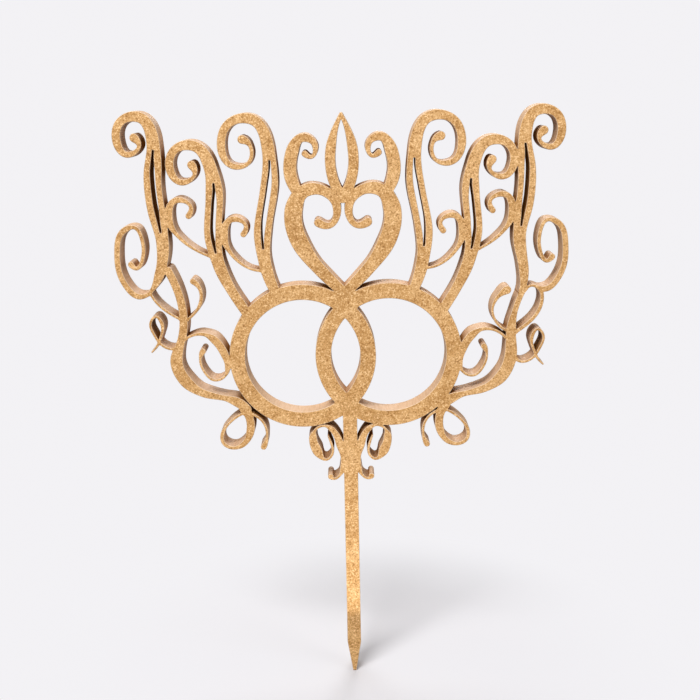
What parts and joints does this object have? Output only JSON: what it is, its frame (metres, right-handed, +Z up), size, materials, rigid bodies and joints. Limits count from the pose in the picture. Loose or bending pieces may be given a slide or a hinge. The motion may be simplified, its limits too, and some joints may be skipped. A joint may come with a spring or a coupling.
{
  "type": "cake topper",
  "caption": "Flat scrollwork cake topper of gold painted board: interlocked rings between vines, under a crest of scrolls and a heart, on a pointed stake that is pushed into the cake.",
  "frame": {"origin": "on the stake's axis, level with the top of the cake, half way through the board's thickness", "axes": "+Z up along the stake, +X to the right seen from the front, +Y through the board to its back"},
  "size_m": [0.1475, 0.008, 0.1955],
  "materials": {
    "gold_board": "fine-grained metallic gold paint on cut board"
  },
  "bodies": {
    "root": {"bud": "gold_board", "left_foot_scroll": "gold_board", "left_heart_lobe": "gold_board", "left_leaf_curl": "gold_board", "left_middle_curl": "gold_board", "left_middle_scroll": "gold_board", "left_outer_curl": "gold_board", "left_outer_scroll": "gold_board", "left_ring": "gold_board", "left_ring_scroll": "gold_board", "left_shoulder_scroll": "gold_board", "left_strand": "gold_board", "left_tall_curl": "gold_board", "left_tall_scroll": "gold_board", "left_tendril": "gold_board", "left_vine": "gold_board", "left_vine_loop": "gold_board", "left_vine_tail": "gold_board", "right_foot_scroll": "gold_board", "right_heart_lobe": "gold_board", "right_leaf_curl": "gold_board", "right_middle_curl": "gold_board", "right_middle_scroll": "gold_board", "right_outer_curl": "gold_board", "right_outer_scroll": "gold_board", "right_ring": "gold_board", "right_ring_scroll": "gold_board", "right_shoulder_scroll": "gold_board", "right_tall_curl": "gold_board", "right_tall_scroll": "gold_board", "right_tendril": "gold_board", "right_top_loop": "gold_board", "right_vine": "gold_board", "right_vine_loop": "gold_board", "right_vine_tail": "gold_board", "stake": "gold_board"}
  },
  "joints": []
}
